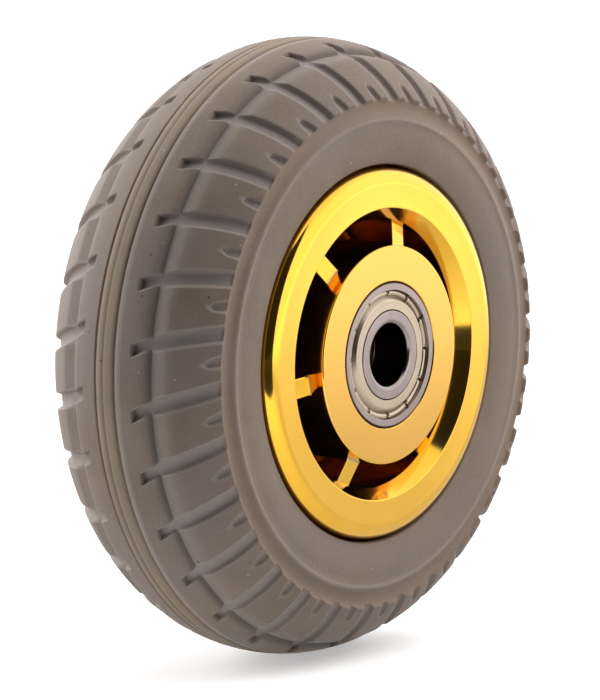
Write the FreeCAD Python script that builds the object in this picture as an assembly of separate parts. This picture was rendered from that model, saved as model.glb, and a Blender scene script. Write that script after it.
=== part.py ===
import FreeCAD, Part

import math
import os

from FreeCAD import Vector

# Rubber trolley wheel: a solid rubber tyre bonded to a six-spoke cast hub,
# which turns on two shielded deep-groove ball bearings with a spacer tube between them.
# Millimetres. The axle lies along Y, +Z is up, and the origin is the middle of the wheel.
# The front is the -Y side. Angles run clockwise from +Z as seen from the front.

# Tyre
tyre_diameter = 150.0
tyre_width = 50.6
shoulder_diameter = 123.4
shoulder_set_in = 0.4
shoulder_step = 0.9
ridge_diameter = 112.6
ridge_roundness = 0.8
band_hollow = 0.5
sidewall_bulge = 0.45
shoulder_slope = 31.0
ridge_slope = 15.0

# Tread: the mould's split line and the whole pattern lie a little off the hub's middle plane
tread_offset = -1.0
tread_depth = 1.3
groove_count = 30
front_groove_turn = 11.6
rear_groove_turn = 3.2
groove_inner_end = 7.1
notch_width = 2.8
notch_slant = 25.0
groove_width = 3.6
groove_slant = 14.0
channel_start = 11.2
channel_lean = 1.2
channel_floor = 0.8
channel_ramp = 2.6
rib_groove_place = 2.7
rib_groove_width = 0.8
rib_groove_depth = 0.8
sipe_width = 2.1
sipe_depth = 1.0
sipe_length = 2.4
sipe_corner = 0.6

# Hub casting
hub_length = 55.0
rim_diameter = 91.4
rim_width = 48.0
rim_lip_rise = 2.2
rim_lip_share = 0.36
rim_face_drop = 0.55
rim_round_share = 0.25
rim_round_drop = 0.3
spoke_count = 6
spoke_width = 4.9
spoke_turn = 19.5
spoke_length = 6.3
spoke_set_back = 2.3
spoke_fall = 16.6
spoke_edge_radius = 0.35
recess_slope = 2.7
boss_diameter = 52.6
boss_edge_radius = 1.0
web_thickness = 4.0
mould_draft = 1.0
seat_shoulder = 2.3
seat_chamfer = 0.35

# Bearings
bore_diameter = 15.0
bearing_diameter = 35.0
bearing_width = 11.0
bearing_chamfer = 0.6
ball_diameter = 5.953
ball_count = 8
ball_play = 0.06
inner_land_drop = 1.83
outer_land_rise = 2.1
shield_seat_rise = 2.8
shield_seat_depth = 1.4

# Shields
shield_thickness = 0.35
shield_set_back = 0.35
shield_gap = 0.25
shield_bead_width = 0.75
shield_step_width = 0.5
shield_slots = 12
shield_slot_width = 0.35
shield_slot_depth = 0.5
shield_fit = 0.02

# Ball cages, pressed in halves and riveted
cage_width = 1.9
cage_thickness = 0.5
cage_play = 0.05
rivet_diameter = 1.0
rivet_head_diameter = 1.5
rivet_head_height = 0.3
rivet_fit = 0.02

# Spacer tube between the inner rings
spacer_wall = 2.4
spacer_bore_clearance = 0.1

# Places that follow from these sizes
tyre_radius = tyre_diameter / 2
shoulder_radius = shoulder_diameter / 2
shoulder_place = tyre_width / 2 - shoulder_set_in
shoulder_drop = tyre_radius - shoulder_radius
crown_radius = (shoulder_place ** 2 + shoulder_drop ** 2) / (2 * shoulder_drop)
crown_centre = tyre_radius - crown_radius
cut_margin = 1.0
tread_end = max(tyre_width, rim_width) / 2 + abs(tread_offset) + cut_margin
rim_radius = rim_diameter / 2
rim_crest = rim_width / 2 + rim_lip_rise
rim_face = rim_crest - rim_face_drop
spoke_face = rim_face - spoke_set_back
spoke_slope = math.tan(math.radians(spoke_fall))
recess_foot = spoke_face - spoke_slope * spoke_length
boss_radius = boss_diameter / 2
recess_radius = boss_radius + spoke_length
seat_radius = bearing_diameter / 2
bore_radius = bore_diameter / 2
ball_circle_radius = (bore_radius + seat_radius) / 2
inner_land = ball_circle_radius - inner_land_drop
outer_land = ball_circle_radius + outer_land_rise
shield_seat = ball_circle_radius + shield_seat_rise
bearing_place = (hub_length - bearing_width) / 2
axis_y = Vector(0, 1, 0)
axis_z = Vector(0, 0, 1)
origin = Vector(0, 0, 0)


def line(start, end):
    """A straight edge of a section; points are (radius, place along the axle)."""
    return Part.LineSegment(Vector(*start, 0), Vector(*end, 0)).toShape()


def arc(start, middle, end):
    """A round edge of a section through three points."""
    return Part.Arc(Vector(*start, 0), Vector(*middle, 0), Vector(*end, 0)).toShape()


def turned(edges):
    """The solid of a section turned once round the axle."""
    face = Part.Face(Part.Wire(edges))
    return face.revolve(origin, axis_y, 360)


def turned_polygon(points):
    """The turned solid of a section with straight sides only."""
    closed = points + points[:1]
    return turned([line(a, b) for a, b in zip(closed, closed[1:])])


def round_the_axle(shape, degrees):
    """A copy of a shape turned clockwise about the axle, as seen from the front."""
    copy = shape.copy()
    copy.rotate(origin, axis_y, degrees)
    return copy


def other_side(shape):
    """A copy of a shape turned about the upright axis, from the rear side to the front."""
    copy = shape.copy()
    copy.rotate(origin, axis_z, 180)
    return copy


def along_axle(shape, distance):
    """A copy of a shape moved along the axle."""
    copy = shape.copy()
    copy.translate(Vector(0, distance, 0))
    return copy


def crown_height(place, depth=0.0):
    """The radius of the crown arc, or of an arc below it, at a place along the axle."""
    radius = crown_radius - depth
    return crown_centre + math.sqrt(radius ** 2 - place ** 2)


def side_curve(sign):
    """The edges from the shoulder to the rim: lug ends, hollow band, ridge and side wall."""
    step_radius = shoulder_radius - shoulder_step
    step_place = shoulder_place - shoulder_step * math.tan(math.radians(shoulder_slope))
    ridge_radius = ridge_diameter / 2
    ridge_place = tyre_width / 2
    ridge_drop = ridge_roundness * math.tan(math.radians(ridge_slope))
    band_end = (ridge_radius + ridge_roundness, ridge_place - ridge_drop)
    wall_start = (ridge_radius - ridge_roundness, ridge_place - ridge_drop)
    band_middle = ((step_radius + band_end[0]) / 2, (step_place + band_end[1]) / 2 - band_hollow)
    wall_middle = ((wall_start[0] + rim_radius) / 2,
                   (wall_start[1] + rim_width / 2) / 2 + sidewall_bulge)
    points = [(shoulder_radius, shoulder_place), (step_radius, step_place), band_middle, band_end,
              (ridge_radius, ridge_place), wall_start, wall_middle, (rim_radius, rim_width / 2)]
    points = [(radius, sign * place) for radius, place in points]
    return [line(points[0], points[1]), arc(*points[1:4]), arc(*points[3:6]), arc(*points[5:8])]


def tyre_blank():
    """The tyre before its tread is cut: a ring with a round crown on the hub's drum."""
    crown = arc((shoulder_radius, -shoulder_place), (tyre_radius, 0),
                (shoulder_radius, shoulder_place))
    drum = line((rim_radius, rim_width / 2), (rim_radius, -rim_width / 2))
    return turned(side_curve(-1) + [crown] + side_curve(1) + [drum])


def below_the_tread(depth):
    """The round core that stops a tread cut at a depth below the crown."""
    reach = min(crown_radius - depth - cut_margin, tread_end)
    edge = crown_height(reach, depth)
    inside = bore_radius
    crown = arc((edge, -reach), (tyre_radius - depth, 0), (edge, reach))
    return turned([crown, line((edge, reach), (inside, reach)),
                   line((inside, reach), (inside, -reach)), line((inside, -reach), (edge, -reach))])


def tread_prism(outline, front):
    """A radial prism on an outline of (tangent, distance outward from the tread's middle)."""
    side = -1 if front else 1
    points = [Vector(-side * tangent, tread_offset + side * out, rim_radius)
              for tangent, out in outline]
    face = Part.Face(Part.makePolygon(points + points[:1]))
    return face.extrude(Vector(0, 0, tyre_radius))


def outer_limb(out):
    """How far a groove's middle line has turned aside at a distance outward."""
    knee = math.tan(math.radians(notch_slant)) * (channel_start - groove_inner_end)
    return knee + math.tan(math.radians(groove_slant)) * (out - channel_start)


def groove_outline():
    """A cross groove: a slanted notch inside the channel and a wider limb outside it."""
    thin = notch_width / 2
    wide = groove_width / 2
    knee = outer_limb(channel_start)
    return [(-thin, groove_inner_end), (thin, groove_inner_end), (knee + thin, channel_start),
            (knee + wide, channel_start), (outer_limb(tread_end) + wide, tread_end),
            (outer_limb(tread_end) - wide, tread_end), (knee - wide, channel_start),
            (knee - thin, channel_start)]


def sipe_outline(front):
    """A short blunt-ended cut at the shoulder, half way between two cross grooves."""
    half = sipe_width / 2
    offset = tread_offset if front else -tread_offset
    start = shoulder_place - sipe_length + offset
    blunt = half - sipe_corner
    full = start + sipe_corner
    return [(outer_limb(start) - blunt, start), (outer_limb(start) + blunt, start),
            (outer_limb(full) + half, full), (outer_limb(tread_end) + half, tread_end),
            (outer_limb(tread_end) - half, tread_end), (outer_limb(full) - half, full)]


def cross_cuts():
    """All cross grooves and shoulder cuts of both sides, evenly round the tyre."""
    pitch = 360 / groove_count
    groove_core = below_the_tread(tread_depth)
    sipe_core = below_the_tread(sipe_depth)
    cuts = []
    for front, turn in ((True, front_groove_turn), (False, rear_groove_turn)):
        groove = tread_prism(groove_outline(), front).cut(groove_core)
        sipe = tread_prism(sipe_outline(front), front).cut(sipe_core)
        for index in range(groove_count):
            cuts.append(round_the_axle(groove, turn + index * pitch))
            cuts.append(round_the_axle(sipe, turn + (index + 0.5) * pitch))
    return cuts


def ring_cuts():
    """The grooves that run round the tyre: two fine ones at the rib and a channel each side."""
    cuts = []
    above = tyre_radius + cut_margin
    for side in (-1, 1):
        middle = tread_offset + side * rib_groove_place
        low = crown_height(middle, rib_groove_depth)
        half = rib_groove_width / 2
        cuts.append(turned_polygon([(low, middle - half), (low, middle + half),
                                    (above, middle + half), (above, middle - half)]))
        wall = tread_offset + side * channel_start
        wall_top = wall - side * channel_lean
        floor_end = wall + side * channel_floor
        ramp_end = floor_end + side * channel_ramp
        cuts.append(turned_polygon([(crown_height(wall_top), wall_top),
                                    (crown_height(wall, tread_depth), wall),
                                    (crown_height(floor_end, tread_depth), floor_end),
                                    (crown_height(ramp_end), ramp_end),
                                    (above, ramp_end), (above, wall_top)]))
    return cuts


def tyre():
    return tyre_blank().cut(ring_cuts()).cut(cross_cuts())


def hub_half_section(sign):
    """The turned form of the casting, from its middle plane out to one face."""
    face = hub_length / 2
    seat_end = face - bearing_width
    shoulder = seat_radius - seat_shoulder
    web = web_thickness / 2
    lean = math.tan(math.radians(mould_draft)) * (recess_foot - web)
    opening = recess_radius + recess_slope
    crest = (rim_radius - rim_lip_share * (rim_radius - opening), rim_crest)
    edge = (rim_radius, rim_width / 2)
    lip_middle = (rim_radius - rim_round_share * (rim_radius - crest[0]),
                  rim_crest - rim_round_drop * rim_lip_rise)
    soft = boss_edge_radius
    corner = soft * (1 - math.sqrt(0.5))
    points = [(shoulder, 0), (shoulder, seat_end), (seat_radius, seat_end),
              (seat_radius, face - seat_chamfer), (seat_radius + seat_chamfer, face),
              (boss_radius - soft, face), (boss_radius - corner, face - corner),
              (boss_radius, face - soft), (boss_radius + lean, web), (recess_radius - lean, web),
              (recess_radius, recess_foot), (opening, rim_face), crest, lip_middle, edge,
              (rim_radius, 0)]
    points = [(radius, sign * place) for radius, place in points]
    round_middles = (6, 13)
    edges = []
    for index in range(len(points) - 1):
        if index in round_middles:
            continue
        if index + 1 in round_middles:
            edges.append(arc(points[index], points[index + 1], points[index + 2]))
        else:
            edges.append(line(points[index], points[index + 1]))
    return edges


def spoke_section(place, face):
    """The rounded outline of a spoke, across it at a place along it, out to both faces."""
    half = spoke_width / 2
    soft = spoke_edge_radius
    inset = soft * (1 - math.sqrt(0.5))
    corners = [(half, soft - face), (half, face - soft), (half - inset, face - inset),
               (half - soft, face), (soft - half, face), (inset - half, face - inset),
               (-half, face - soft), (-half, soft - face), (inset - half, inset - face),
               (soft - half, -face), (half - soft, -face), (half - inset, inset - face)]
    points = [Vector(across, along, place) for across, along in corners]
    points.append(points[0])
    edges = []
    for index in range(0, len(corners), 3):
        a, b, c, d = points[index:index + 4]
        edges.append(Part.LineSegment(a, b).toShape())
        edges.append(Part.Arc(b, c, d).toShape())
    return Part.Wire(edges)


def spoke():
    """One spoke at the top of the wheel: its faces fall towards the rim, its ends lie in the casting."""
    sections = []
    for place in ((seat_radius + boss_radius) / 2, (recess_radius + rim_radius) / 2):
        face = spoke_face - spoke_slope * (place - boss_radius)
        sections.append(spoke_section(place, face))
    return Part.makeLoft(sections, True, True)


def hub():
    """One casting: bored boss, six spokes on a middle web, and the drum with its rim rings."""
    blank = turned(hub_half_section(-1) + hub_half_section(1))
    pitch = 360 / spoke_count
    spokes = [round_the_axle(spoke(), spoke_turn + index * pitch) for index in range(spoke_count)]
    return blank.fuse(spokes)


def race_core():
    """The round channel that the balls roll in, a little larger than a ball."""
    return Part.makeTorus(ball_circle_radius, ball_diameter / 2 + ball_play, origin, axis_y)


def outer_ring():
    """The bearing's outer ring: race in the middle and a stepped seat for each shield."""
    half = bearing_width / 2
    corner = half - bearing_chamfer
    rim = seat_radius - bearing_chamfer
    step = half - shield_seat_depth
    ring = turned_polygon([(outer_land, -step), (shield_seat, -step), (shield_seat, -half),
                           (rim, -half), (seat_radius, -corner), (seat_radius, corner),
                           (rim, half), (shield_seat, half), (shield_seat, step),
                           (outer_land, step)])
    return ring.cut(race_core())


def inner_ring():
    """The bearing's inner ring, chamfered at its bore."""
    half = bearing_width / 2
    corner = half - bearing_chamfer
    mouth = bore_radius + bearing_chamfer
    ring = turned_polygon([(mouth, -half), (inner_land, -half), (inner_land, half), (mouth, half),
                           (bore_radius, corner), (bore_radius, -corner)])
    return ring.cut(race_core())


def shield():
    """A pressed shield at the rear face: flat disc, a step down, and a slotted crimped bead."""
    face = bearing_width / 2
    inner = inner_land + shield_gap
    outer = shield_seat - shield_fit
    bead = outer - shield_bead_width
    disc = bead - shield_step_width
    front = face - shield_set_back
    back = face - shield_seat_depth + shield_fit
    thick = shield_thickness
    plate = turned_polygon([(inner, front), (disc, front), (disc, back + thick),
                            (bead, back + thick), (bead, front), (outer, front), (outer, back),
                            (disc - thick, back), (disc - thick, front - thick),
                            (inner, front - thick)])
    inside = bead - shield_step_width / 2
    length = shield_bead_width + shield_step_width
    slot = Part.makeBox(shield_slot_width, 2 * shield_slot_depth, length,
                        Vector(-shield_slot_width / 2, front - shield_slot_depth, inside))
    pitch = 360 / shield_slots
    return plate.cut([round_the_axle(slot, index * pitch) for index in range(shield_slots)])


def ball_places():
    """The angles of the balls round the axle."""
    return [index * 360 / ball_count for index in range(ball_count)]


def ball(angle):
    """A ball on the ball circle."""
    sphere = Part.makeSphere(ball_diameter / 2, Vector(0, 0, ball_circle_radius), axis_y)
    return round_the_axle(sphere, angle)


def band(low, high):
    """The ring as wide as the cage, between two places along the axle."""
    inner = ball_circle_radius - cage_width / 2
    outer = ball_circle_radius + cage_width / 2
    return turned_polygon([(inner, low), (outer, low), (outer, high), (inner, high)])


def rivet_pins(diameter, low, high):
    """Round pins half way between the balls."""
    pin = Part.makeCylinder(diameter / 2, high - low, Vector(0, low, ball_circle_radius), axis_y)
    half_pitch = 180 / ball_count
    return [round_the_axle(pin, angle + half_pitch) for angle in ball_places()]


def pocket_barrel(diameter, angle):
    """A round bar through a ball's place, pointing away from the axle."""
    start = Vector(0, 0, ball_circle_radius - cage_width)
    barrel = Part.makeCylinder(diameter / 2, 2 * cage_width, start, axis_z)
    return round_the_axle(barrel, angle)


def cage_half():
    """The half on the rear side: a flat ribbon with an arch pressed over each ball."""
    pocket = ball_diameter + 2 * cage_play
    arch = pocket + 2 * cage_thickness
    arches = [pocket_barrel(arch, angle) for angle in ball_places()]
    arch_band = band(0, arch / 2 + cut_margin)
    ribbon = band(0, cage_thickness).fuse([barrel.common(arch_band) for barrel in arches])
    pockets = [pocket_barrel(pocket, angle) for angle in ball_places()]
    holes = rivet_pins(rivet_diameter + 2 * rivet_fit, -cut_margin, cage_thickness + cut_margin)
    return ribbon.cut(pockets + holes)


def rivets():
    """The rivets that hold the two halves: a shank and a low head at each end."""
    shank = rivet_pins(rivet_diameter, -cage_thickness, cage_thickness)
    top = cage_thickness + rivet_head_height
    heads = rivet_pins(rivet_head_diameter, cage_thickness, top)
    feet = rivet_pins(rivet_head_diameter, -top, -cage_thickness)
    whole = [a.fuse([b, c]) for a, b, c in zip(shank, heads, feet)]
    return Part.Compound(whole)


def spacer_tube():
    """The tube that keeps the two inner rings apart on the axle."""
    length = hub_length - 2 * bearing_width
    start = Vector(0, -length / 2, 0)
    inside = bore_radius + spacer_bore_clearance
    tube = Part.makeCylinder(inside + spacer_wall, length, start, axis_y)
    return tube.cut(Part.makeCylinder(inside, length, start, axis_y))


def bearing_pieces(name, place, outward):
    """One bearing's pieces in place; outward is 1 at the rear of the wheel and -1 in front."""
    far_shield = shield()
    near_shield = other_side(far_shield)
    far_half = cage_half()
    near_half = other_side(far_half)
    if outward < 0:
        far_shield, near_shield = near_shield, far_shield
        far_half, near_half = near_half, far_half
    pieces = {
        f"{name}_outer_ring": outer_ring(),
        f"{name}_inner_ring": inner_ring(),
        f"{name}_outer_shield": far_shield,
        f"{name}_inner_shield": near_shield,
        f"{name}_cage_outer_half": far_half,
        f"{name}_cage_inner_half": near_half,
        f"{name}_cage_rivets": rivets(),
    }
    for number, angle in enumerate(ball_places(), start=1):
        pieces[f"{name}_ball_{number}"] = ball(angle)
    return {node: along_axle(shape, place) for node, shape in pieces.items()}


def all_pieces():
    """Every piece of the wheel by its name."""
    pieces = {"tyre": tyre(), "hub": hub(), "spacer_tube": spacer_tube()}
    pieces.update(bearing_pieces("front", -bearing_place, -1))
    pieces.update(bearing_pieces("rear", bearing_place, 1))
    return pieces


os.makedirs("parts", exist_ok=True)
for node, shape in all_pieces().items():
    shape.exportStep(f"parts/{node}.step")
    print(node, len(shape.Solids), "solid", shape.isValid(), round(shape.Volume, 1))
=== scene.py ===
import math

import bpy
import numpy as np
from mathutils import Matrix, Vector


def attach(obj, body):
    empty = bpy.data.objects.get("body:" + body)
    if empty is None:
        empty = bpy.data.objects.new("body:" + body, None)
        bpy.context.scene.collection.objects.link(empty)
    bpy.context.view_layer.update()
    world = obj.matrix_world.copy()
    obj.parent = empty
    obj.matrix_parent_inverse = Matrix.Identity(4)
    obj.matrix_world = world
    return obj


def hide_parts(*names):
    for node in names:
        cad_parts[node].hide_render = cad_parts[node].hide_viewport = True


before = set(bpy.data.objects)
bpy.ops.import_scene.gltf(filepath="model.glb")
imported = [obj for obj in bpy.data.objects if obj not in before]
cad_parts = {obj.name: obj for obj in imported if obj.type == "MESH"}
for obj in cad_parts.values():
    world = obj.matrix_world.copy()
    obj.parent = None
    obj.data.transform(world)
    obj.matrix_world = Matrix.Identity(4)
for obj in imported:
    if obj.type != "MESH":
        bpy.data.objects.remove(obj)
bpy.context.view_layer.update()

# The view: a long lens from the wheel's left front, a little above the axle. It is aimed to
# the left of the boss's face, so that the whole tyre stands in the middle of the picture.
MM = 0.001               # the shapes below are worked out in millimetres
view_turn = math.radians(-52.15)
view_rise = math.radians(7.7)
boss_face = Vector((0.0, -27.5, 0.0)) * MM
stand_off = Vector((-21.6, 1.17, 1197.09)) * MM     # from there, as right, up and back
camera_data = bpy.data.cameras.new("camera")
camera_data.sensor_width = 36.0
camera_data.lens = 257.1
camera_data.clip_end = 50.0
camera = bpy.data.objects.new("camera", camera_data)
bpy.context.scene.collection.objects.link(camera)
camera.rotation_euler = (math.pi / 2 - view_rise, 0.0, view_turn)
camera.location = boss_face + camera.rotation_euler.to_matrix() @ stand_off
bpy.context.scene.camera = camera


# The tyre: one ring of grey-brown rubber moulded on the hub's drum. The mould leaves the
# tread's slanted grooves, a ramped channel each side, two fine ring grooves with the mould's
# split line between them, shoulder cuts, a hollow band and a ridge on the side wall. The split
# line is not shaped: a painted dark line and a painted highlight draw it.
CROWN = 29.96            # radius of the round crown's section
CROWN_CENTRE = 45.04     # distance of that arc's centre from the axle
SHOULDER = 24.9          # where the crown ends, along the axle
PATTERN_MIDDLE = -1.0    # where the tread pattern's middle line runs, along the axle
PITCHES = 30             # cross grooves round the tyre, with a shoulder cut between each two
GROOVE_DEPTH = 1.3       # depth of the cross grooves and of the channel
GROOVE_END = 6.85        # distance from the pattern's middle line at which a groove ends
GROOVE_SLANT = 7.1       # the same, where its middle line starts to lean
CHANNEL = 11.5           # the same, for the channel's deepest line
FINE_GROOVE = 2.7        # the same, for a fine ring groove
CUT_REACH = 2.3          # how far a shoulder cut reaches over the crown from the shoulder
CUT_DEPTH = 1.0
DRUM = 45.7              # radius of the hub's drum, on which the rubber is moulded


def smooth(low, high, x):
    """3t^2 - 2t^3, where t is the share of the way of x from low to high, held in 0 to 1."""
    t = np.clip((x - low) / (high - low), 0.0, 1.0)
    return t * t * (3.0 - 2.0 * t)


def bell(x, middle, width):
    """e^-((x - middle) / width)^2: 1 at the middle, and next to nothing two widths away."""
    return np.exp(-((x - middle) / width) ** 2)


def grid_faces(rows, columns, close_rows=False, close_columns=False, start=0):
    """Quads between the points of a grid stored row by row, joined round where it closes."""
    r = np.arange(rows if close_rows else rows - 1)
    c = np.arange(columns if close_columns else columns - 1)
    a, b = np.meshgrid(r, c, indexing="ij")
    a2, b2 = (a + 1) % rows, (b + 1) % columns
    quads = np.stack([a * columns + b, a * columns + b2, a2 * columns + b2, a2 * columns + b], -1)
    return quads.reshape(-1, 4) + start


def make_mesh(name, points, faces, attributes=None):
    """A mesh from an array of points in millimetres and an array of quads, shaded smooth."""
    mesh = bpy.data.meshes.new(name)
    mesh.vertices.add(len(points))
    mesh.vertices.foreach_set("co", (points * MM).astype(np.float32).ravel())
    mesh.loops.add(faces.size)
    mesh.loops.foreach_set("vertex_index", faces.astype(np.int32).ravel())
    mesh.polygons.add(len(faces))
    mesh.polygons.foreach_set("loop_start", np.arange(len(faces), dtype=np.int32) * faces.shape[1])
    mesh.update(calc_edges=True)
    mesh.polygons.foreach_set("use_smooth", np.ones(len(faces), dtype=bool))
    for key, values in (attributes or {}).items():
        layer = mesh.attributes.new(key, "FLOAT", "POINT")
        layer.data.foreach_set("value", values.astype(np.float32).ravel())
    mesh.validate()
    piece = bpy.data.objects.new(name, mesh)
    bpy.context.scene.collection.objects.link(piece)
    return piece


def limb(out):
    """Sideways run of a groove's middle line at a distance d from the pattern's middle line.

    (d - 7.1) tan 25 degrees as far as d = 11.2, and (d - 11.2) tan 14 degrees more past that.
    """
    kink = 11.2
    inner = math.tan(math.radians(25)) * (np.clip(out, GROOVE_SLANT, kink) - GROOVE_SLANT)
    return inner + math.tan(math.radians(14)) * np.maximum(out - kink, 0.0)


def tyre_rows():
    """The crown's stations, as distances from the pattern's middle line to the front and rear.

    They stand close together where the depth or the painted shade changes fast: at the split line
    (0), which is only painted shade and highlight, the fine ring groove (2.7), the groove's end
    (7.1), the channel's wall (11.5) and the cut's tip.
    """
    out = np.array([0.0, 0.12, 0.28, 0.5, 1.4, 2.34, 2.5, 2.64, 2.76, 2.9, 3.06, 3.3, 4.6, 6.6,
                    6.85, 7.07, 7.28, 7.5, 8.5, 9.6, 10.3, 10.8, 11.2, 11.42, 11.52, 11.64, 12.4,
                    13.5, 14.4, 14.7, 16.2, 18.0, 19.5])
    ends = np.array([-3.5, -2.55, -2.3, -2.1, -1.9, -1.5, -0.9, -0.45, -0.15, 0.0])
    front = np.concatenate([out, SHOULDER + PATTERN_MIDDLE + ends])
    rear = np.concatenate([out, [21.0], SHOULDER - PATTERN_MIDDLE + ends])
    return front, rear


def side_points():
    """The rear side wall from the shoulder to the rim, as points (radius, place).

    In order: the band's step, the band with a sag of 0.5 sin^0.8 (pi t), the ridge, the wall
    with a bulge of 0.45 sin (pi s), and the foot in the narrow groove along the rim.
    """
    t = np.linspace(0.0, 1.0, 8)
    step = np.array([[61.50, 24.98], [61.30, 24.92], [61.08, 24.74], [60.90, 24.52]])
    band = np.stack([60.75 + (57.1 - 60.75) * t, 24.36 + (25.02 - 24.36) * t
                     - 0.5 * np.sin(math.pi * t) ** 0.8], -1)
    ridge = np.array([[56.85, 25.14], [56.6, 25.25], [56.3, 25.3], [56.0, 25.25], [55.75, 25.16],
                      [55.5, 25.08]])
    s = np.linspace(0.0, 1.0, 7)[1:]
    wall = np.stack([55.5 + (46.05 - 55.5) * s, 25.08 + (24.25 - 25.08) * s
                     + 0.45 * np.sin(math.pi * s)], -1)
    foot = np.array([[45.8, 24.16], [45.62, 24.0], [45.53, 23.78], [45.5, 23.4], [45.48, 22.9],
                     [45.5, 22.5], [45.7, 22.3]])
    return np.concatenate([step, band, ridge, wall, foot])


def tyre_surface():
    """The tyre as one closed grid of section stations x angles, and the marks for its colour,
    painted highlights and shade among them.

    A crown station at place y is (45.04 + 29.96 cos t, 29.96 sin t), where sin t = y / 29.96,
    and a hollow draws it in along the arc's radius. A column keeps its distance from the
    nearest groove's middle line, so the grid follows the slanted grooves:
    angle = base + (limb + offset) / radius, with the limb the other way round at the rear.
    """
    # stations in order: front rim to front shoulder, crown, rear shoulder to rear rim, drum
    front, rear = tyre_rows()
    place = np.concatenate([PATTERN_MIDDLE - front[::-1], PATTERN_MIDDLE + rear[1:]])
    t = np.arcsin(place / CROWN)
    crown = np.stack([CROWN_CENTRE + CROWN * np.cos(t), place], -1)
    down = np.stack([-np.cos(t), -np.sin(t)], -1)
    side = side_points()
    section = np.concatenate([side[::-1] * (1.0, -1.0), crown, side,
                              [[DRUM, 12.0], [DRUM, -12.0]]])
    radius, along = section[:, 0], np.abs(section[:, 1])
    out = np.abs(section[:, 1] - PATTERN_MIDDLE)
    is_front = section[:, 1] < PATTERN_MIDDLE
    first, last = len(side), len(side) + len(crown)
    on_crown = np.zeros(len(section), bool)
    on_crown[first:last] = True

    # a groove runs out over the first few stations of the side wall, where its depth fades
    share = np.array([0.86, 0.66, 0.42, 0.2, 0.0])
    fade = on_crown.astype(float)
    fade[first - len(share):first] = share[::-1]
    fade[last:last + len(share)] = share
    inward = np.zeros_like(section)
    inward[first:last] = down
    inward[first - len(share):first] = down[0]
    inward[last:last + len(share)] = down[-1]

    # columns: offsets from the groove's middle line, in millimetres at each station
    pitch = 2 * math.pi * radius[:, None] / PITCHES
    half_groove = 1.4 + 0.4 * smooth(10.6, 11.6, out)[:, None]
    half_cut = 0.95 + 0.35 * smooth(-CUT_REACH, 0.0, along - SHOULDER)[:, None]
    near = half_groove * np.array([0.0, 0.76, 0.9, 1.03, 1.17, 1.42])
    far = pitch / 2 - half_cut * np.array([1.5, 1.15, 0.94, 0.72, 0.0])
    half = np.concatenate([near, 0.5 * (near[:, -1:] + far[:, :1]), far], 1)
    offset = np.concatenate([-half[:, -2:0:-1], half], 1)
    base = np.radians(11.6 + 3.6 * smooth(-5.5, 5.5, section[:, 1] - PATTERN_MIDDLE))
    start = base + np.where(is_front, 1.0, -1.0) * limb(out) / radius
    angle = start[:, None] + offset / radius[:, None]
    turns = 2 * math.pi / PITCHES * np.arange(PITCHES)
    angle = (angle[:, None, :] + turns[:, None]).reshape(len(section), -1)

    # depths below the crown: cross grooves, shoulder cuts with round tips, channel, fine grooves
    from_groove = np.abs(offset) / half_groove
    groove = GROOVE_DEPTH * (1.0 - smooth(0.76, 1.16, from_groove))
    groove = groove * smooth(GROOVE_END, 7.5, out)[:, None]
    reach = (along - SHOULDER + CUT_REACH)[:, None]
    from_cut = pitch / 2 - np.abs(offset)
    from_cut = np.hypot(np.maximum(0.9 - reach, 0.0), from_cut) / half_cut
    cut = CUT_DEPTH * (1.0 - smooth(0.72, 1.15, from_cut)) * (reach > -0.6)
    channel_wall = np.clip((out - 9.7) / 1.75, 0.0, 1.0) ** 1.8
    channel_ramp = 1.0 - np.clip((out - CHANNEL) / 3.15, 0.0, 1.0)
    channel = GROOVE_DEPTH * np.where(out > CHANNEL, channel_ramp, channel_wall)
    fine = 0.45 * (1.0 - smooth(0.06, 0.34, np.abs(out - FINE_GROOVE)))
    ring = (np.maximum(channel, fine) * on_crown)[:, None]
    depth = np.maximum(np.maximum(groove, cut) * fade[:, None], ring)
    drawn = section[:, None, :] + inward[:, None, :] * np.tile(depth, (1, PITCHES))[..., None]
    r, y = drawn[..., 0], drawn[..., 1]
    points = np.stack([r * np.sin(angle), y, r * np.cos(angle)], -1)

    # for the colour: pale hollows, the stained band, painted highlights on edges and ridge, and
    # painted shade in inner corners
    hollow = np.clip(depth / GROOVE_DEPTH, 0.0, 1.0) * np.where(is_front, 1.0, 0.45)[:, None]
    band = smooth(61.9, 61.2, radius) * smooth(56.9, 57.4, radius) * (along > 23.0)
    band = band * (0.4 + 0.6 * smooth(59.0, 60.7, radius))
    # painted highlight on the side wall's ridge
    ridge = bell(radius, 56.3, 0.55) * (along > 25.0)
    # painted highlights: light lines along the groove and cut edges, and a faint line round the
    # tread over the lugs
    edge = bell(from_groove, 1.17, 0.13) * smooth(6.9, 7.5, out)[:, None]
    edge = np.maximum(edge, bell(from_cut, 1.15, 0.2) * (reach > -0.6))
    edge = np.maximum(edge, 0.25 * bell(out, 14.7, 0.25)[:, None]) * fade[:, None]
    # painted highlights: a light strip beside the front fine ring groove, and a light line on the
    # split line
    ring_highlights = 1.5 * smooth(3.0, 3.15, out) * smooth(4.6, 3.5, out) * is_front
    ring_highlights = ring_highlights + 0.8 * bell(out, 0.1, 0.18)
    edge = np.maximum(edge, ring_highlights[:, None])
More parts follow.
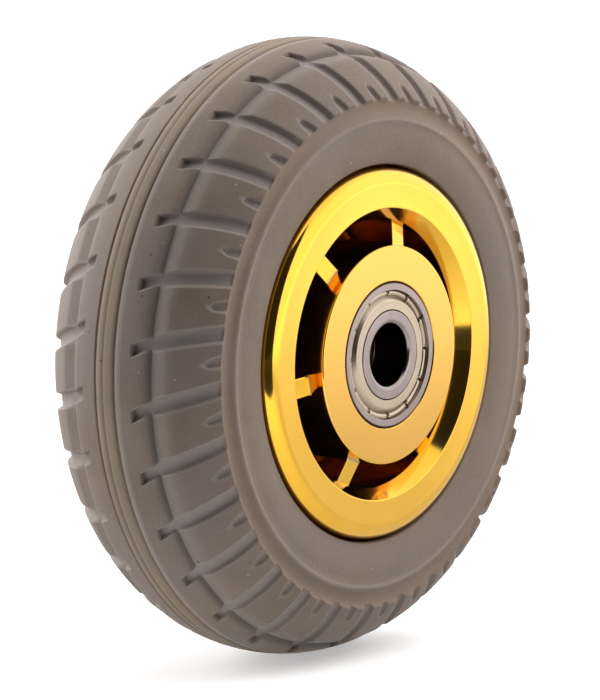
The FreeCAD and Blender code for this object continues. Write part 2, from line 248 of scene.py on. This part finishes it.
    # painted shade: the channel's deep line, the groove tips, a dark line for the split line and
    # the rim's narrow groove
    shade = 0.9 * smooth(9.9, 11.2, out) * (out < 11.55) * on_crown
    shade = shade[:, None] * (1.0 - smooth(0.4, 1.0, groove))
    groove_tip_shade = 0.8 * smooth(0.2, 1.1, groove) * (smooth(9.4, 7.3, out) * fade)[:, None]
    split_line_shade = 0.9 * bell(section[:, 1], -0.45, 0.22) * on_crown
    rim_groove_shade = 0.8 * smooth(46.0, 45.6, radius)
    shade = np.maximum(np.maximum(shade, groove_tip_shade), np.maximum(split_line_shade, rim_groove_shade)[:, None])
    marks = {"hollow": hollow, "edge": edge, "shade": shade, "out": out[:, None],
             "band": band[:, None], "ridge": ridge[:, None]}
    return points, {key: np.tile(np.broadcast_to(values, offset.shape), (1, PITCHES))
                    for key, values in marks.items()}


points, marks = tyre_surface()
rows, columns = points.shape[:2]
faces = grid_faces(rows, columns, close_rows=True, close_columns=True)
tyre = make_mesh("rubber_tyre", points.reshape(-1, 3), faces, marks)


def new_material(name):
    """A new material; gives the material, its node tree and its shader."""
    made = bpy.data.materials.new(name)
    made.use_nodes = True
    return made, made.node_tree, made.node_tree.nodes["Principled BSDF"]


def put(tree, kind, *inputs, **settings):
    """A node whose inputs take, in order, a link, a plain value or None for no change."""
    node = tree.nodes.new("ShaderNode" + kind)
    for key, value in settings.items():
        setattr(node, key, value)
    for socket, source in zip(node.inputs, inputs):
        if isinstance(source, bpy.types.NodeSocket):
            tree.links.new(source, socket)
        elif source is not None:
            socket.default_value = source
    return node


def sums(tree, operation, first, second=None, third=None):
    """One step of arithmetic on links or numbers."""
    return put(tree, "Math", first, second, third, operation=operation).outputs[0]


def ramp(tree, value, low, high, start=0.0, end=1.0):
    """A value's smooth step from start at low to end at high; low may be the larger one."""
    if low > high:
        low, high, start, end = high, low, end, start
    return put(tree, "MapRange", value, low, high, start, end,
               interpolation_type="SMOOTHSTEP").outputs[0]


def tint(tree, share, first, second):
    """A colour between two colours, the first at a share of 0 and the second at 1."""
    node = put(tree, "Mix", share, data_type="RGBA")
    for socket, source in ((node.inputs[6], first), (node.inputs[7], second)):
        if isinstance(source, bpy.types.NodeSocket):
            tree.links.new(source, socket)
        else:
            socket.default_value = (*source, 1.0)
    return node.outputs[2]


def noise(tree, place, scale):
    """Even noise round 0.5 on a place, with details about 1 / scale metres across."""
    node = put(tree, "TexNoise", place)
    for key, value in (("Scale", scale), ("Detail", 3.0), ("Roughness", 0.55)):
        node.inputs[key].default_value = value
    return node.outputs[0]


def mark(tree, name):
    """The value that a piece's points carry under this name."""
    return put(tree, "Attribute", attribute_name=name).outputs["Fac"]


def new_group(name, inputs, outputs):
    """An empty node group with named inputs (kind, default) and outputs (kind)."""
    group = bpy.data.node_groups.new(name, "ShaderNodeTree")
    for key, (kind, default) in inputs.items():
        socket = group.interface.new_socket(key, in_out="INPUT", socket_type="NodeSocket" + kind)
        if default is not None:
            socket.default_value = default
    for key, kind in outputs.items():
        group.interface.new_socket(key, in_out="OUTPUT", socket_type="NodeSocket" + kind)
    return group, group.nodes.new("NodeGroupInput"), group.nodes.new("NodeGroupOutput")


def use_group(tree, group, **inputs):
    """A group placed in a material, with links or values for its inputs by name."""
    node = tree.nodes.new("ShaderNodeGroup")
    node.node_tree = group
    for key, source in inputs.items():
        socket = node.inputs[key.replace("_", " ")]
        if isinstance(source, bpy.types.NodeSocket):
            tree.links.new(source, socket)
        else:
            socket.default_value = source
    return node


# Soiling that every piece carries: wide cloudy patches, fine grain, and a few small specks.
soiling, given, made = new_group("soiling",
                                 {"Place": ("Vector", None), "Patch": ("Float", 70.0),
                                  "Grain": ("Float", 1500.0), "Speck": ("Float", 260.0)},
                                 {"Patches": "Float", "Grains": "Float", "Specks": "Float"})
patches = put(soiling, "TexNoise", given.outputs["Place"])
soiling.links.new(given.outputs["Patch"], patches.inputs["Scale"])
patches.inputs["Detail"].default_value = 5.0
patches.inputs["Distortion"].default_value = 0.4
grains = put(soiling, "TexNoise", given.outputs["Place"])
soiling.links.new(given.outputs["Grain"], grains.inputs["Scale"])
grains.inputs["Detail"].default_value = 2.0
cells = put(soiling, "TexVoronoi", given.outputs["Place"])
soiling.links.new(given.outputs["Speck"], cells.inputs["Scale"])
chosen = put(soiling, "SeparateColor", cells.outputs["Color"]).outputs[0]
near_cell = ramp(soiling, cells.outputs["Distance"], 0.09, 0.04)
soiling.links.new(sums(soiling, "MULTIPLY", near_cell, ramp(soiling, chosen, 0.82, 0.86)),
                  made.inputs["Specks"])
soiling.links.new(patches.outputs[0], made.inputs["Patches"])
soiling.links.new(grains.outputs[0], made.inputs["Grains"])

rubber, tree, shader = new_material("grey-brown rubber")
place = put(tree, "TexCoord").outputs["Object"]
dirt = use_group(tree, soiling, Place=place)
hollow, edge, ridge = mark(tree, "hollow"), mark(tree, "edge"), mark(tree, "ridge")
out, band, shade = mark(tree, "out"), mark(tree, "band"), mark(tree, "shade")
cloud = ramp(tree, dirt.outputs["Patches"], 0.3, 0.7)
colour = tint(tree, cloud, (0.186, 0.138, 0.104), (0.238, 0.180, 0.142))
bloom = ramp(tree, noise(tree, place, 34.0), 0.46, 0.66, 0.0, 0.6)
colour = tint(tree, bloom, colour, (0.208, 0.166, 0.150))
colour = tint(tree, ramp(tree, dirt.outputs["Grains"], 0.35, 0.75, 0.0, 0.35), colour,
              (0.265, 0.203, 0.163))
dusty = sums(tree, "MULTIPLY", ramp(tree, out, 3.6, 2.2), ramp(tree, cloud, 0.1, 0.9, 0.5, 0.95))
colour = tint(tree, dusty, colour, (0.275, 0.205, 0.145))
stain = sums(tree, "MULTIPLY", band, ramp(tree, cloud, 0.0, 1.0, 0.45, 0.8))
colour = tint(tree, stain, colour, (0.245, 0.170, 0.115))
colour = tint(tree, sums(tree, "MULTIPLY", hollow, 0.6), colour, (0.335, 0.288, 0.274))
# painted highlights along the edges, from the edge mark
colour = tint(tree, sums(tree, "MULTIPLY", edge, 0.5), colour, (0.36, 0.305, 0.275))
# painted highlight on the ridge
colour = tint(tree, sums(tree, "MULTIPLY", ridge, 0.5), colour, (0.33, 0.275, 0.235))
# painted shade, nearly black brown, in the channel, the groove tips, the rim's groove and along
# the split line
colour = tint(tree, sums(tree, "MULTIPLY", shade, 0.75), colour, (0.080, 0.055, 0.037))
specks = sums(tree, "MULTIPLY", dirt.outputs["Specks"], 0.7)
colour = tint(tree, specks, colour, (0.44, 0.38, 0.34))
# painted shade: near-black dots for the shade in small pinholes of the rubber
holes = put(tree, "TexVoronoi", place)
holes.inputs["Scale"].default_value = 230.0
pick = put(tree, "SeparateColor", holes.outputs["Color"]).outputs[1]
pit_shade = sums(tree, "MULTIPLY", ramp(tree, holes.outputs["Distance"], 0.1, 0.05),
            ramp(tree, pick, 0.78, 0.82))
colour = tint(tree, sums(tree, "MULTIPLY", pit_shade, 0.8), colour, (0.06, 0.045, 0.035))
tree.links.new(colour, shader.inputs["Base Color"])
shine = ramp(tree, dirt.outputs["Patches"], 0.25, 0.75, 0.5, 0.66)
tree.links.new(sums(tree, "ADD", shine, sums(tree, "MULTIPLY", dusty, 0.12)),
               shader.inputs["Roughness"])
height = sums(tree, "ADD", sums(tree, "MULTIPLY", dirt.outputs["Grains"], 0.5),
              noise(tree, place, 420.0))
bump = put(tree, "Bump", 0.28, 0.00022)
tree.links.new(height, bump.inputs["Height"])
tree.links.new(bump.outputs[0], shader.inputs["Normal"])
shader.inputs["Specular IOR Level"].default_value = 0.35
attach(tyre, "wheel")
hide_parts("tyre")
tyre.data.materials.append(rubber)


# The hub: one alloy casting, polished bright and gold-finished. Its turned form is a bored boss,
# a web in the middle plane and a drum whose rims roll outward over the tyre; six spokes stand
# out from the web on both sides, and their faces fall towards the rim.
BOSS = 26.3              # radius of the boss
RECESS = 32.6            # radius of the recess's wall at its foot
SPOKE_FACE = 23.35       # how far out a spoke's face stands at the boss
SPOKE_FALL = 0.298       # fall of that face for each millimetre outward
SPOKE_TURN = 19.5        # degrees from the top to the first spoke
SPOKE_HALF = 2.45        # half a spoke's width
SPOKE_FILLET = 0.5       # radius of the fillets where it meets the boss and the wall
SPOKE_EDGE = 0.3         # radius of its long edges


def rounded(corners, steps=6):
    """A section line with round corners: each corner (radius, place, roundness) becomes an arc.

    The arc starts and ends at d = roundness x tan(turn / 2) from the corner, and its points
    are c + roundness (cos a, sin a) about the centre c on the corner's bisector. A point a
    quarter of the roundness before and after it keeps the straight runs flat.
    """
    corners = np.asarray(corners, float)
    line = [corners[0, :2]]
    for before, here, after in zip(corners[:-2], corners[1:-1], corners[2:]):
        point, size = here[:2], here[2]
        if size == 0:
            line.append(point)
            continue
        a = (before[:2] - point) / np.linalg.norm(before[:2] - point)
        b = (after[:2] - point) / np.linalg.norm(after[:2] - point)
        half = 0.5 * math.acos(np.clip(a @ b, -1.0, 1.0))
        centre = point + (a + b) / np.linalg.norm(a + b) * size / math.sin(half)
        reach = size / math.tan(half)
        start, end = point + a * reach - centre, point + b * reach - centre
        low = math.atan2(start[1], start[0])
        sweep = (math.atan2(end[1], end[0]) - low + math.pi) % (2 * math.pi) - math.pi
        t = low + sweep * np.linspace(0.0, 1.0, steps)
        line.append(point + a * (reach + 0.25 * size))
        line.extend(centre + size * np.stack([np.cos(t), np.sin(t)], -1))
        line.append(point + b * (reach + 0.25 * size))
    line.append(corners[-1, :2])
    return np.array(line)


def turned(line, a):
    """A section line carried once round the axle through the angles a: (r sin a, y, r cos a)."""
    r, y = line[:, :1], line[:, 1:]
    return np.stack([r * np.sin(a), y + 0 * a, r * np.cos(a)], -1)


def even_angles(count):
    """The angles of even columns all the way round."""
    return 2 * math.pi * np.arange(count) / count


def hub_line():
    """The hub's closed section, from the bore out to the rear rim and back over the front one.

    The rim rolls over from its crest in an arc of radius 5.1 for 28 degrees, and then in one
    of radius 2.8 for 56 more, to the narrow groove along the rubber.
    """
    inner = rounded([(15.2, 0.0, 0), (15.2, 16.5, 0.2), (17.5, 16.5, 0.2), (17.5, 27.15, 0),
                     (17.85, 27.5, 0.1), (BOSS, 27.5, 0.35), (BOSS + 0.34, 2.0, 1.2),
                     (RECESS - 0.34, 2.0, 1.2), (RECESS, 22.4, 0.35), (35.25, 26.06, 0.3),
                     (40.8, 26.19, 0)])
    t = np.radians(np.linspace(0.0, 28.0, 8))[:, None]
    roll = np.concatenate([40.95 + 5.1 * np.sin(t), 21.1 + 5.1 * np.cos(t)], 1)
    t = np.radians(np.linspace(28.0, 84.0, 13))[1:, None]
    edge = roll[-1] + 2.8 * np.concatenate([np.sin(t) - math.sin(math.radians(28)),
                                            np.cos(t) - math.cos(math.radians(28))], 1)
    rear = np.concatenate([inner, roll, edge, [[44.98, 22.9], [45.02, 22.5], [DRUM, 22.3],
                                               [DRUM, 12.0], [DRUM, 0.0]]])
    front = rear[-2:0:-1] * np.array([1.0, -1.0])
    return np.concatenate([rear, front])


def spoke_bars():
    """The six spokes: a rounded bar section carried outward from the boss to the recess's wall.

    Half width = 2.45 + 0.5 (1 - sqrt(1 - (1 - e / 0.5)^2)) near each end, with e the distance
    to the wall; the face stands at 23.35 - 0.298 (r - 26.3), in front as behind.
    """
    r = np.array([25.4, 26.35, 26.42, 26.55, 26.7, 26.85, 27.2, 28.5, 30.0, 31.4, 31.9, 32.1,
                  32.3, 32.45, 32.55, 33.6])
    share = np.clip(np.minimum(r - BOSS, RECESS + 0.05 - r) / SPOKE_FILLET, 0.0, 1.0)
    fillet = SPOKE_FILLET * (1.0 - np.sqrt(np.maximum(1.0 - (1.0 - share) ** 2, 0.0)))
    half = (SPOKE_HALF + fillet - SPOKE_EDGE)[:, None]
    face = (SPOKE_FACE - SPOKE_FALL * (r - BOSS) - SPOKE_EDGE)[:, None]
    t = np.linspace(0.0, 0.5 * math.pi, 6)
    corner = SPOKE_EDGE * np.stack([np.cos(t), np.sin(t)], -1)
    corner = np.concatenate([[[SPOKE_EDGE, -0.1]], corner, [[-0.1, SPOKE_EDGE]]])
    ring = [(corner, 1, 1), (corner[::-1] * (-1, 1), -1, 1), (-corner, -1, -1),
            (corner[::-1] * (1, -1), 1, -1)]
    across = np.concatenate([k * half + c[:, 0] for c, k, m in ring], 1)
    along = np.concatenate([m * face + c[:, 1] for c, k, m in ring], 1)
    up = np.sqrt(r[:, None] ** 2 - across ** 2)
    turns = np.radians(SPOKE_TURN + 60.0 * np.arange(6))[:, None, None]
    x = across * np.cos(turns) + up * np.sin(turns)
    z = up * np.cos(turns) - across * np.sin(turns)
    return np.stack([x, along + 0 * turns, z], -1)


def end_lids(columns, first, last):
    """Strips of quads from corner to corner that close a bar at its first and last ring."""
    near = columns // 8 + np.arange(columns // 2 - 1)
    far = 2 * (columns // 8) - 1 - near
    strip = np.stack([near, near + 1, far - 1, far], -1) % columns
    return np.concatenate([strip[:, [1, 0, 3, 2]] + first, strip + last])


line = hub_line()
casting = turned(line, even_angles(288))
bars = spoke_bars()
faces = [grid_faces(*casting.shape[:2], close_rows=True, close_columns=True)[:, ::-1]]
start = turned_count = casting.shape[0] * casting.shape[1]
for bar in bars:
    faces.append(grid_faces(*bar.shape[:2], close_columns=True, start=start))
    end = start + bar.shape[0] * bar.shape[1]
    faces.append(end_lids(bar.shape[1], start, end - bar.shape[1]))
    start = end
points = np.concatenate([casting.reshape(-1, 3), bars.reshape(-1, 3)])

# the pocket mark paints shade on the deep walls, the bearings' seats and the boss's outer wall,
# and makes them less polished
reach, along = np.hypot(points[:, 0], points[:, 2]), np.abs(points[:, 1])
deep = np.where(np.arange(len(points)) < turned_count, 22.4, 20.4) - along
pocket_shade_and_matt = 0.7 * smooth(0.0, 2.2, deep) + 0.3 * smooth(2.0, 9.0, deep)
boss_wall_shade = 0.5 * smooth(27.1, 26.3, along) * (reach < BOSS + 0.4)
pocket_shade_and_matt = np.maximum(pocket_shade_and_matt, boss_wall_shade) * (reach > BOSS - 0.1) * (reach < RECESS + 0.1)
pocket_shade_and_matt = np.maximum(pocket_shade_and_matt, reach < 17.8)
hub = make_mesh("gold_hub", points, np.concatenate(faces), {"pocket_shade_and_matt": pocket_shade_and_matt})


# Fine rings that turning and polishing leave on a face: noise on the distance from the axle.
turning, given, made = new_group("turning marks",
                                 {"Place": ("Vector", None), "Fineness": ("Float", 6000.0)},
                                 {"Marks": "Float", "Radius": "Float"})
parts = put(turning, "SeparateXYZ", given.outputs["Place"])
square = sums(turning, "ADD", sums(turning, "MULTIPLY", parts.outputs[0], parts.outputs[0]),
              sums(turning, "MULTIPLY", parts.outputs[2], parts.outputs[2]))
radius = sums(turning, "SQRT", square)
level = put(turning, "CombineXYZ", sums(turning, "MULTIPLY", radius, given.outputs["Fineness"]),
            sums(turning, "MULTIPLY", parts.outputs[1], given.outputs["Fineness"]), 0.0)
lines = put(turning, "TexNoise", level.outputs[0])
lines.inputs["Scale"].default_value = 1.0
lines.inputs["Detail"].default_value = 2.0
turning.links.new(lines.outputs[0], made.inputs["Marks"])
turning.links.new(radius, made.inputs["Radius"])

gold, tree, shader = new_material("gold finish")
place = put(tree, "TexCoord").outputs["Object"]
dirt = use_group(tree, soiling, Place=place, Patch=45.0, Grain=900.0, Speck=330.0)
marks = use_group(tree, turning, Place=place, Fineness=5000.0)
pocket_shade_and_matt = mark(tree, "pocket_shade_and_matt")
on_boss = ramp(tree, marks.outputs["Radius"], 0.0265, 0.0255)
colour = tint(tree, ramp(tree, dirt.outputs["Patches"], 0.3, 0.7), (0.92, 0.495, 0.026),
              (0.95, 0.525, 0.038))
colour = tint(tree, sums(tree, "MULTIPLY", on_boss, 0.85), colour, (0.82, 0.445, 0.068))
boss_side = sums(tree, "MULTIPLY", ramp(tree, marks.outputs["Radius"], 0.0261, 0.02625),
                 ramp(tree, marks.outputs["Radius"], 0.0272, 0.0268))
colour = tint(tree, sums(tree, "MULTIPLY", boss_side, 0.8), colour, (0.76, 0.56, 0.17))
colour = tint(tree, sums(tree, "MULTIPLY", dirt.outputs["Specks"], 0.6), colour,
              (0.55, 0.30, 0.06))
# painted shade: dark brown on the deep walls between the spokes, the bearings' seats and the
# boss's outer wall
colour = tint(tree, sums(tree, "MULTIPLY", pocket_shade_and_matt, 0.93), colour, (0.17, 0.075, 0.028))
tree.links.new(colour, shader.inputs["Base Color"])
shader.inputs["Metallic"].default_value = 1.0
polish = ramp(tree, dirt.outputs["Patches"], 0.3, 0.75, 0.055, 0.10)
polish = sums(tree, "ADD", polish, sums(tree, "MULTIPLY", on_boss, 0.07))
polish = sums(tree, "ADD", polish, sums(tree, "MULTIPLY", pocket_shade_and_matt, 0.22))
tree.links.new(sums(tree, "ADD", polish, sums(tree, "MULTIPLY", marks.outputs["Marks"], 0.03)),
               shader.inputs["Roughness"])
shader.inputs["Coat Weight"].default_value = 0.7
shader.inputs["Coat Roughness"].default_value = 0.25
height = sums(tree, "ADD", sums(tree, "MULTIPLY", marks.outputs["Marks"], 0.35),
              sums(tree, "MULTIPLY", dirt.outputs["Grains"], 0.4))
bump = put(tree, "Bump", 0.05, 0.0001)
tree.links.new(height, bump.inputs["Height"])
tree.links.new(bump.outputs[0], shader.inputs["Normal"])
hub.data.materials.append(gold)
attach(hub, "wheel")
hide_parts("hub")


# The bearings' rings: hardened steel, ground on the end faces and honed in the bore, which is
# drawn dark brown. The outer ring is pressed into the boss against its shoulder.
BEARING = 22.0           # a bearing's middle plane along the axle
SIDES = {"front": -1, "rear": 1}
TRACK = 12.5             # radius of the circle on which the balls' centres run
TRACK_HOLLOW = 3.04      # radius of the ball groove's section


def ball_track(land, away):
    """A ring's ball groove between its edges: (12.5 + away 3.04 cos a, 3.04 sin a)."""
    end = math.acos(abs(land - TRACK) / TRACK_HOLLOW)
    a = np.linspace(-end, end, 13)
    return np.stack([TRACK + away * TRACK_HOLLOW * np.cos(a), TRACK_HOLLOW * np.sin(a)], -1)


def set_in(name, surface, place, facing, marks):
    """A closed turned surface put in at a place along the axle, its outer end facing + or -."""
    points = surface * (1.0, facing, 1.0) + (0.0, place, 0.0)
    faces = grid_faces(*surface.shape[:2], close_rows=True, close_columns=True)
    return make_mesh(name, points.reshape(-1, 3), faces[:, ::-facing], marks)


def ground_steel(name, light, dark, fineness, rough, dark_bore=0.0, gap_shade=False):
    """Turned or ground steel: fine rings in its gloss, cloudy patches, a dark bore and painted
    shade in gaps.
    """
    made, tree, shader = new_material(name)
    place = put(tree, "TexCoord").outputs["Object"]
    dirt = use_group(tree, soiling, Place=place, Patch=160.0, Grain=2600.0, Speck=700.0)
    marks = use_group(tree, turning, Place=place, Fineness=fineness)
    colour = tint(tree, ramp(tree, dirt.outputs["Patches"], 0.3, 0.7), dark, light)
    colour = tint(tree, ramp(tree, marks.outputs["Marks"], 0.4, 0.7, 0.0, 0.3), colour,
                  [0.8 * c for c in dark])
    colour = tint(tree, sums(tree, "MULTIPLY", dirt.outputs["Specks"], 0.5), colour,
                  (0.08, 0.065, 0.05))
    # the bore, under about 7.7 mm radius, drawn dark brown by the given share
    bore_dark_and_gap_shade = ramp(tree, marks.outputs["Radius"], 0.0077, 0.00752, 0.0, dark_bore)
    # painted shade in gaps and creases, from the piece's gap mark
    if gap_shade:
        bore_dark_and_gap_shade = sums(tree, "MAXIMUM", bore_dark_and_gap_shade, mark(tree, "gap_shade"))
    colour = tint(tree, bore_dark_and_gap_shade, colour, (0.075, 0.048, 0.03))
    tree.links.new(colour, shader.inputs["Base Color"])
    shader.inputs["Metallic"].default_value = 1.0
    gloss = sums(tree, "ADD", rough, sums(tree, "MULTIPLY", marks.outputs["Marks"], 0.12))
    gloss = sums(tree, "ADD", gloss, ramp(tree, dirt.outputs["Patches"], 0.35, 0.75, 0.0, 0.08))
    tree.links.new(gloss, shader.inputs["Roughness"])
    bump = put(tree, "Bump", 0.12, 0.00005)
    tree.links.new(marks.outputs["Marks"], bump.inputs["Height"])
    tree.links.new(bump.outputs[0], shader.inputs["Normal"])
    return made


outer_section = np.concatenate([
    ball_track(14.6, 1),
    rounded([(14.6, 2.4, 0), (14.6, 3.9, 0), (15.6, 4.0, 0), (15.6, 5.5, 0.12), (17.5, 5.5, 0.4),
             (17.5, -5.5, 0.4), (15.6, -5.5, 0.12), (15.6, -4.0, 0), (14.6, -3.9, 0),
             (14.6, -2.4, 0)])])
inner_section = np.concatenate([
    ball_track(10.67, -1)[::-1],
    rounded([(10.67, -2.7, 0), (10.67, -5.5, 0.15), (7.5, -5.5, 0.9), (7.5, 5.5, 0.9),
             (10.67, 5.5, 0.15), (10.67, 2.7, 0)])])
ring_steel = ground_steel("ground ring steel", (0.395, 0.325, 0.305), (0.335, 0.275, 0.255),
                          9000.0, 0.16, dark_bore=0.95, gap_shade=True)
for side, way in SIDES.items():
    for ring, section, body in (("outer", outer_section, "wheel"),
                                ("inner", inner_section, "axle_side")):
        surface = turned(section, even_angles(160))
        # painted shade on the outer ring where it meets the boss
        seat = np.hypot(surface[..., 0], surface[..., 2]) > 17.2
        piece = set_in(f"{side}_{ring}_race", surface, way * BEARING, way, {"gap_shade": seat})
        piece.data.materials.append(ring_steel)
        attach(piece, body)
        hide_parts(f"{side}_{ring}_ring")


# The shields: discs pressed from thin zinc-plated sheet, their slotted rim rolled into a bead
# that grips the outer ring's groove, one on each side of the balls.
def shield_angles():
    """The angles of the shield's columns: twelve slots 0.5 wide at radius 14.9, and even steps."""
    slot = np.array([-0.31, -0.25, 0.0, 0.25, 0.31]) / 14.9     # its edges are 0.06 wide
    between = np.linspace(slot[-1], math.pi / 6 + slot[0], 10)[1:-1]
    step = np.concatenate([slot, between])
    in_slot = np.concatenate([[0.0, 1.0, 1.0, 1.0, 0.0], 0 * between])
    turns = np.arange(12)[:, None] * math.pi / 6
    return (turns + step).ravel(), np.tile(in_slot, 12)


t = np.linspace(math.pi, 0.0, 9)
rolled = np.stack([14.87 + 0.67 * np.cos(t), 4.5 + 0.4 * np.sin(t)], -1)
face = rounded([(10.9, 5.05, 0), (10.9, 5.4, 0.1), (13.1, 5.4, 0.5), (14.05, 4.55, 0.12),
                (14.2, 4.5, 0)])[:-1]
back = [[15.54, 4.1], [13.9, 4.1], [13.7, 4.25], [12.8, 5.05]]
sheet = np.concatenate([face, rolled, back])
angles, slots = shield_angles()
radius = sheet[:, 0]
bead = (radius > 14.15) & (sheet[:, 1] > 4.3)
surface = turned(sheet, angles)
surface[..., 1] -= 0.3 * bead[:, None] * slots
# painted shade in the crease inside the bead, on the slope below it, in the bead's slots and at
# its rim
crease_shade = np.maximum(bell(radius, 14.18, 0.08), 0.9 * smooth(15.42, 15.54, radius))
crease_shade = np.maximum(crease_shade, 0.4 * smooth(13.5, 14.05, radius) * (radius < 14.2))
gap_shade = np.maximum(bead[:, None] * slots, crease_shade[:, None])
shield_sheet = ground_steel("shield sheet", (0.57, 0.465, 0.345), (0.50, 0.405, 0.30), 4000.0,
                            0.22, gap_shade=True)
for side, way in SIDES.items():
    for which, facing in (("outer", way), ("inner", -way)):
        piece = set_in(f"{side}_{which}_cover", surface, way * BEARING, facing, {"gap_shade": gap_shade})
        piece.data.materials.append(shield_sheet)
        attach(piece, "wheel")
        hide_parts(f"{side}_{which}_shield")


# The ball cages: two ribbons of thin steel strip, pressed into pockets over the balls and held
# together by eight rivets.
def finish_nodes(finish, *names):
    """Gives CAD nodes their finish."""
    for name in names:
        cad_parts[name].data.materials.clear()
        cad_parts[name].data.materials.append(finish)


finish_nodes(ground_steel("cage strip", (0.46, 0.42, 0.38), (0.38, 0.345, 0.31), 2500.0, 0.3),
             *[f"{side}_cage_{part}" for side in SIDES
               for part in ("outer_half", "inner_half", "rivets")])


# The balls: eight to a bearing, of hardened steel lapped to a mirror. The cage keeps them apart
# as they roll between the rings.
finish_nodes(ground_steel("ball steel", (0.66, 0.65, 0.64), (0.6, 0.59, 0.57), 1500.0, 0.04),
             *[f"{side}_ball_{number}" for side in SIDES for number in range(1, 9)])


# The spacer tube: drawn steel, cut square. It lies loose between the two inner rings and keeps
# them apart when the axle bolt is tightened.
finish_nodes(ground_steel("drawn tube steel", (0.36, 0.33, 0.31), (0.29, 0.26, 0.245), 3000.0,
                          0.3, dark_bore=0.9), "spacer_tube")


# The studio: white paper under the wheel and white light from all sides and above, except for
# the dark room behind the camera, which the polished gold shows as its black reflections.
FLOOR_REACH = 12000.0    # from the middle to each side of the paper
FLOOR_LEVEL = -75.1
towards = (math.sin(view_turn), -math.cos(view_turn), 0.0)      # level, to the camera
aside = (math.cos(view_turn), math.sin(view_turn), 0.0)         # level, to the picture's right
corners = np.array([[-1, -1, 0], [1, -1, 0], [1, 1, 0], [-1, 1, 0]]) * FLOOR_REACH
floor = make_mesh("floor", corners + (0.0, 0.0, FLOOR_LEVEL), np.array([[0, 1, 2, 3]]))

paper, tree, shader = new_material("white paper")
shader.inputs["Roughness"].default_value = 0.9
ground = put(tree, "TexCoord").outputs["Object"]
ahead = put(tree, "VectorMath", ground, towards, operation="DOT_PRODUCT").outputs["Value"]
level = put(tree, "VectorMath", ground, aside, operation="DOT_PRODUCT").outputs["Value"]
off_middle = sums(tree, "ABSOLUTE", level)
path = put(tree, "LightPath")
in_metal = path.outputs["Is Glossy Ray"]

# the paper ends a short way ahead of the wheel; past its edge lies the dark room
spread = sums(tree, "SUBTRACT", sums(tree, "MULTIPLY", ahead, 1.04), off_middle)
unseen = sums(tree, "SUBTRACT", 1.0, path.outputs["Is Camera Ray"])
past_edge = sums(tree, "MULTIPLY", ramp(tree, ahead, 0.24, 0.26), unseen)
past_edge = sums(tree, "MULTIPLY", past_edge, ramp(tree, spread, -0.01, 0.01))
on_paper = sums(tree, "SUBTRACT", 1.0, past_edge)
plain = sums(tree, "MULTIPLY", on_paper, sums(tree, "SUBTRACT", 1.0, in_metal))
tree.links.new(tint(tree, plain, (0.0, 0.0, 0.0), (0.8, 0.8, 0.8)), shader.inputs["Base Color"])

# polished metal mirrors it as an even glow, brighter to the right and just ahead of the wheel
near = ramp(tree, off_middle, 0.38, 0.12)
shine = sums(tree, "MULTIPLY_ADD", ramp(tree, ahead, -0.02, 0.2, 0.0, 0.8), near,
             ramp(tree, level, 0.25, 0.9, 0.74, 1.7))
glow = sums(tree, "MULTIPLY", sums(tree, "MULTIPLY", shine, in_metal), on_paper)
lift = sums(tree, "MULTIPLY", path.outputs["Is Camera Ray"], 0.4)
shader.inputs["Emission Color"].default_value = (1, 1, 1, 1)
tree.links.new(sums(tree, "ADD", lift, glow), shader.inputs["Emission Strength"])
floor.data.materials.append(paper)

world = bpy.data.worlds.new("studio")
bpy.context.scene.world = world
world.use_nodes = True
tree = world.node_tree
direction = put(tree, "TexCoord").outputs["Generated"]
forward = put(tree, "VectorMath", direction, towards, operation="DOT_PRODUCT").outputs["Value"]
sideways = put(tree, "VectorMath", direction, aside, operation="DOT_PRODUCT").outputs["Value"]
heading = sums(tree, "ARCTAN2", sideways, forward)      # 0 behind the camera, negative to the left
rise = sums(tree, "ARCSINE", put(tree, "SeparateXYZ", direction).outputs[2])
seen = put(tree, "LightPath")
in_metal = seen.outputs["Is Glossy Ray"]

# a strip of light on the left, low down: sharp in the metal's mirror, wider for the rest
left_end = ramp(tree, heading, -2.9, -2.6)
low_down = ramp(tree, rise, 0.9, 0.6)
strip = sums(tree, "MULTIPLY", left_end, low_down)
narrow = sums(tree, "MULTIPLY", ramp(tree, heading, -1.45, -1.6), strip)
wide = sums(tree, "MULTIPLY", ramp(tree, heading, -1.2, -1.45), strip)
mirrored = sums(tree, "MULTIPLY_ADD", narrow, 1.2, ramp(tree, rise, 0.5, 1.2, 1.6, 1.2))
plain = sums(tree, "MULTIPLY_ADD", ramp(tree, rise, 0.6, 1.2), 0.7, 0.46)
plain = sums(tree, "MULTIPLY_ADD", wide, 3.9, plain)
light = sums(tree, "ADD", sums(tree, "MULTIPLY", mirrored, in_metal),
             sums(tree, "MULTIPLY", plain, sums(tree, "SUBTRACT", 1.0, in_metal)))

# the dark room fills the sector behind the camera, up to 63 degrees above the level
sector = ramp(tree, sums(tree, "ABSOLUTE", heading), 0.84, 0.79)
dark = sums(tree, "MULTIPLY", sector, ramp(tree, rise, 1.12, 1.09))
light = sums(tree, "MULTIPLY", light, sums(tree, "MULTIPLY_ADD", dark, -0.985, 1.0))
background = tree.nodes["Background"]
background.inputs["Color"].default_value = (1, 1, 1, 1)
tree.links.new(sums(tree, "MAXIMUM", light, seen.outputs["Is Camera Ray"]),
               background.inputs["Strength"])

lamp = bpy.data.lights.new("right soft box", "AREA")
lamp.shape = "SQUARE"
lamp.size = 0.5
lamp.energy = 3.8
soft_box = bpy.data.objects.new("right soft box", lamp)
soft_box.location = (0.34, -0.36, 0.5)
soft_box.rotation_euler = Vector(soft_box.location).to_track_quat("Z", "Y").to_euler()
soft_box.visible_glossy = False
bpy.context.scene.collection.objects.link(soft_box)

bpy.context.scene.view_settings.view_transform = "Standard"
